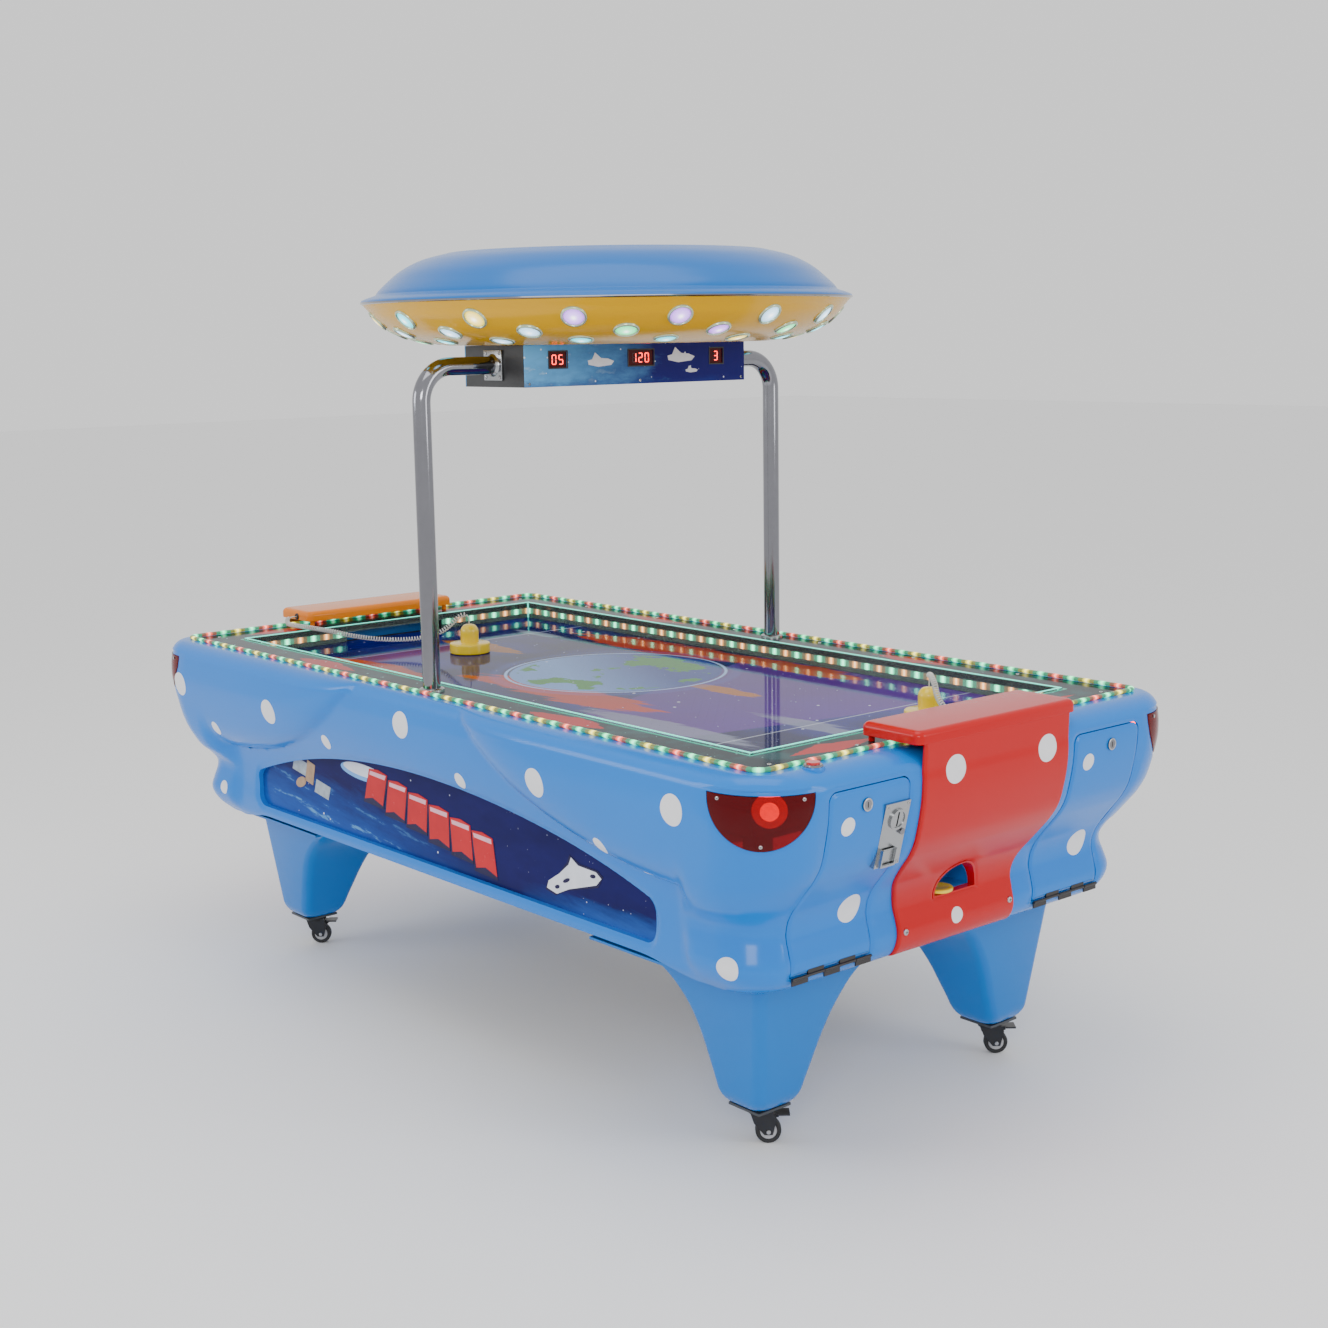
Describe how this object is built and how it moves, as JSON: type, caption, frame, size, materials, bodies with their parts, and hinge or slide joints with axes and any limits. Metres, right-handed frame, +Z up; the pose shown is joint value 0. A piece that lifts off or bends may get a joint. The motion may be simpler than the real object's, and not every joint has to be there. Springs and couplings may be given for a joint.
{
  "type": "air hockey table",
  "caption": "Wheeled air hockey table with flared moulded body, goal returns, coin door, tethered mallets and an overhead score box under a round lit canopy.",
  "frame": {"origin": "on the floor below the middle of the table", "axes": "+X along the table towards the red goal end, +Y across the table away from the coin door's side, +Z up"},
  "size_m": [2.252, 1.1994, 1.704],
  "materials": {
    "body_shell": "glossy moulded skin",
    "side_panels": "printed picture panel",
    "border_frame": "printed board under clear sheet",
    "rail_glass": "clear rail with lit edge",
    "led_rope": "lit rope light",
    "led_strips": "lit strip",
    "field_walls": "satin laminate",
    "playfield": "polished printed board with air holes",
    "air_chamber": "raw board",
    "blower_housing": "satin",
    "blower_motor": "painted casting",
    "blower_impeller": "satin",
    "support_frame": "satin black paint",
    "leg_covers": "glossy moulded skin",
    "goal_cover_red": "glossy moulding",
    "goal_cover_orange": "glossy moulding",
    "puck_chutes": "painted sheet",
    "door": "glossy moulded skin",
    "door_hinges": "satin piano hinge",
    "lock": "plated",
    "coin_plate": "brushed",
    "coin_button": "polished",
    "coin_flap": "brushed",
    "cash_box": "powder coat",
    "control_box": "powder coat",
    "power_inlet": "matt",
    "lamp_covers": "tinted translucent",
    "corner_lamps": "lit lamp on a bracket",
    "start_button": "polished",
    "start_bezel": "plated",
    "posts": "polished tube",
    "score_box": "satin black",
    "score_panels": "printed picture panel",
    "score_displays": "red window over digits",
    "canopy_top": "glossy moulded skin",
    "canopy_bottom": "glossy moulded skin",
    "canopy_lights": "frosted lit lens",
    "caster_fork": "black zinc",
    "caster_wheel": "worn",
    "caster_brake": "dark plated",
    "mallet_red": "polished with worn rim",
    "mallet_orange": "polished with worn rim",
    "cord": "curly cord sheath",
    "puck": "polished"
  },
  "bodies": {
    "table": {"body_shell": "body_shell", "side_panels": "side_panels", "border_frame": "border_frame", "rail_glass": "rail_glass", "led_rope": "led_rope", "led_strips": "led_strips", "field_walls": "field_walls", "playfield": "playfield", "air_chamber": "air_chamber", "blower_housing": "blower_housing", "blower_motor": "blower_motor", "support_frame": "support_frame", "leg_covers": "leg_covers", "goal_cover_red": "goal_cover_red", "goal_cover_orange": "goal_cover_orange", "puck_chutes": "puck_chutes", "door_hinges": "door_hinges", "cash_box": "cash_box", "control_box": "control_box", "power_inlet": "power_inlet", "lamp_covers": "lamp_covers", "corner_lamps": "corner_lamps", "start_bezel": "start_bezel", "posts": "posts", "score_box": "score_box", "score_panels": "score_panels", "score_displays": "score_displays", "canopy_top": "canopy_top", "canopy_bottom": "canopy_bottom", "canopy_lights": "canopy_lights", "mallet_cord_red": "cord", "mallet_cord_orange": "cord"},
    "door_coin": {"door_coin": "door", "coin_plate": "coin_plate"},
    "door_red_back": {"door_red_back": "door"},
    "door_orange_front": {"door_orange_front": "door"},
    "door_orange_back": {"door_orange_back": "door"},
    "lock_coin": {"lock_coin": "lock"},
    "lock_red_back": {"lock_red_back": "lock"},
    "lock_orange_front": {"lock_orange_front": "lock"},
    "lock_orange_back": {"lock_orange_back": "lock"},
    "coin_button": {"coin_button": "coin_button"},
    "coin_flap": {"coin_flap": "coin_flap"},
    "start_button": {"start_button": "start_button"},
    "blower_impeller": {"blower_impeller": "blower_impeller"},
    "mallet_red": {"mallet_red": "mallet_red"},
    "mallet_orange": {"mallet_orange": "mallet_orange"},
    "puck": {"puck": "puck"},
    "caster_red_front": {"caster_red_front": "caster_fork"},
    "wheel_red_front": {"wheel_red_front": "caster_wheel"},
    "brake_red_front": {"brake_red_front": "caster_brake"},
    "caster_red_back": {"caster_red_back": "caster_fork"},
    "wheel_red_back": {"wheel_red_back": "caster_wheel"},
    "brake_red_back": {"brake_red_back": "caster_brake"},
    "caster_orange_front": {"caster_orange_front": "caster_fork"},
    "wheel_orange_front": {"wheel_orange_front": "caster_wheel"},
    "brake_orange_front": {"brake_orange_front": "caster_brake"},
    "caster_orange_back": {"caster_orange_back": "caster_fork"},
    "wheel_orange_back": {"wheel_orange_back": "caster_wheel"},
    "brake_orange_back": {"brake_orange_back": "caster_brake"}
  },
  "joints": [
    {"name": "door_coin_hinge", "type": "hinge", "parent": "table", "child": "door_coin", "pos_m": [1.022, -0.337, 0.3965], "axis": [0, 1, 0], "range_deg": [0, 95]},
    {"name": "lock_coin_turn", "type": "hinge", "parent": "door_coin", "child": "lock_coin", "pos_m": [1.11647, -0.348, 0.718], "axis": [1, 0, 0], "range_deg": [0, 90]},
    {"name": "door_red_back_hinge", "type": "hinge", "parent": "table", "child": "door_red_back", "pos_m": [1.022, 0.337, 0.3965], "axis": [0, 1, 0], "range_deg": [0, 95]},
    {"name": "lock_red_back_turn", "type": "hinge", "parent": "door_red_back", "child": "lock_red_back", "pos_m": [1.11647, 0.348, 0.718], "axis": [1, 0, 0], "range_deg": [-90, 0]},
    {"name": "door_orange_front_hinge", "type": "hinge", "parent": "table", "child": "door_orange_front", "pos_m": [-1.022, -0.337, 0.3965], "axis": [0, -1, 0], "range_deg": [0, 95]},
    {"name": "lock_orange_front_turn", "type": "hinge", "parent": "door_orange_front", "child": "lock_orange_front", "pos_m": [-1.11647, -0.348, 0.718], "axis": [1, 0, 0], "range_deg": [-90, 0]},
    {"name": "door_orange_back_hinge", "type": "hinge", "parent": "table", "child": "door_orange_back", "pos_m": [-1.022, 0.337, 0.3965], "axis": [0, -1, 0], "range_deg": [0, 95]},
    {"name": "lock_orange_back_turn", "type": "hinge", "parent": "door_orange_back", "child": "lock_orange_back", "pos_m": [-1.11647, 0.348, 0.718], "axis": [1, 0, 0], "range_deg": [0, 90]},
    {"name": "coin_button_press", "type": "slide", "parent": "door_coin", "child": "coin_button", "axis": [-0.9703, 0, 0.2419], "range_m": [0, 0.004], "stiffness_N_per_m": 300, "springref_m": -0.003},
    {"name": "coin_flap_swing", "type": "hinge", "parent": "door_coin", "child": "coin_flap", "pos_m": [1.10219, -0.2795, 0.62108], "axis": [0, 1, 0], "range_deg": [0, 60]},
    {"name": "start_button_press", "type": "slide", "parent": "table", "child": "start_button", "axis": [0, 0, -1], "range_m": [0, 0.003], "stiffness_N_per_m": 300, "springref_m": -0.003},
    {"name": "blower_impeller_spin", "type": "hinge", "parent": "table", "child": "blower_impeller", "pos_m": [0, 0, 0.58], "axis": [0, 0, 1], "continuous": true},
    {"name": "mallet_red_slide", "type": "slide", "parent": "table", "child": "mallet_red", "axis": [1, 0, 0], "range_m": [-0.7, 0.04], "deforming": ["mallet_cord_red"]},
    {"name": "mallet_orange_slide", "type": "slide", "parent": "table", "child": "mallet_orange", "axis": [1, 0, 0], "range_m": [-0.32, 0.48], "deforming": ["mallet_cord_orange"]},
    {"name": "puck_slide", "type": "slide", "parent": "table", "child": "puck", "axis": [1, 0, 0], "range_m": [0, 0.12]},
    {"name": "swivel_red_front", "type": "hinge", "parent": "table", "child": "caster_red_front", "pos_m": [0.828, -0.336, 0.075], "axis": [0, 0, 1], "continuous": true},
    {"name": "axle_red_front", "type": "hinge", "parent": "caster_red_front", "child": "wheel_red_front", "pos_m": [0.83839, -0.32383, 0.025], "axis": [-0.7604, 0.6494, 0], "continuous": true},
    {"name": "brake_red_front", "type": "hinge", "parent": "caster_red_front", "child": "brake_red_front", "pos_m": [0.84424, -0.31699, 0.057], "axis": [-0.7604, 0.6494, 0], "range_deg": [0, 12]},
    {"name": "swivel_red_back", "type": "hinge", "parent": "table", "child": "caster_red_back", "pos_m": [0.828, 0.336, 0.075], "axis": [0, 0, 1], "continuous": true},
    {"name": "axle_red_back", "type": "hinge", "parent": "caster_red_back", "child": "wheel_red_back", "pos_m": [0.83839, 0.34817, 0.025], "axis": [-0.7604, 0.6494, 0], "continuous": true},
    {"name": "brake_red_back", "type": "hinge", "parent": "caster_red_back", "child": "brake_red_back", "pos_m": [0.84424, 0.35501, 0.057], "axis": [-0.7604, 0.6494, 0], "range_deg": [0, 12]},
    {"name": "swivel_orange_front", "type": "hinge", "parent": "table", "child": "caster_orange_front", "pos_m": [-0.828, -0.336, 0.075], "axis": [0, 0, 1], "continuous": true},
    {"name": "axle_orange_front", "type": "hinge", "parent": "caster_orange_front", "child": "wheel_orange_front", "pos_m": [-0.81761, -0.32383, 0.025], "axis": [-0.7604, 0.6494, 0], "continuous": true},
    {"name": "brake_orange_front", "type": "hinge", "parent": "caster_orange_front", "child": "brake_orange_front", "pos_m": [-0.81176, -0.31699, 0.057], "axis": [-0.7604, 0.6494, 0], "range_deg": [0, 12]},
    {"name": "swivel_orange_back", "type": "hinge", "parent": "table", "child": "caster_orange_back", "pos_m": [-0.828, 0.336, 0.075], "axis": [0, 0, 1], "continuous": true},
    {"name": "axle_orange_back", "type": "hinge", "parent": "caster_orange_back", "child": "wheel_orange_back", "pos_m": [-0.81761, 0.34817, 0.025], "axis": [-0.7604, 0.6494, 0], "continuous": true},
    {"name": "brake_orange_back", "type": "hinge", "parent": "caster_orange_back", "child": "brake_orange_back", "pos_m": [-0.81176, 0.35501, 0.057], "axis": [-0.7604, 0.6494, 0], "range_deg": [0, 12]}
  ]
}
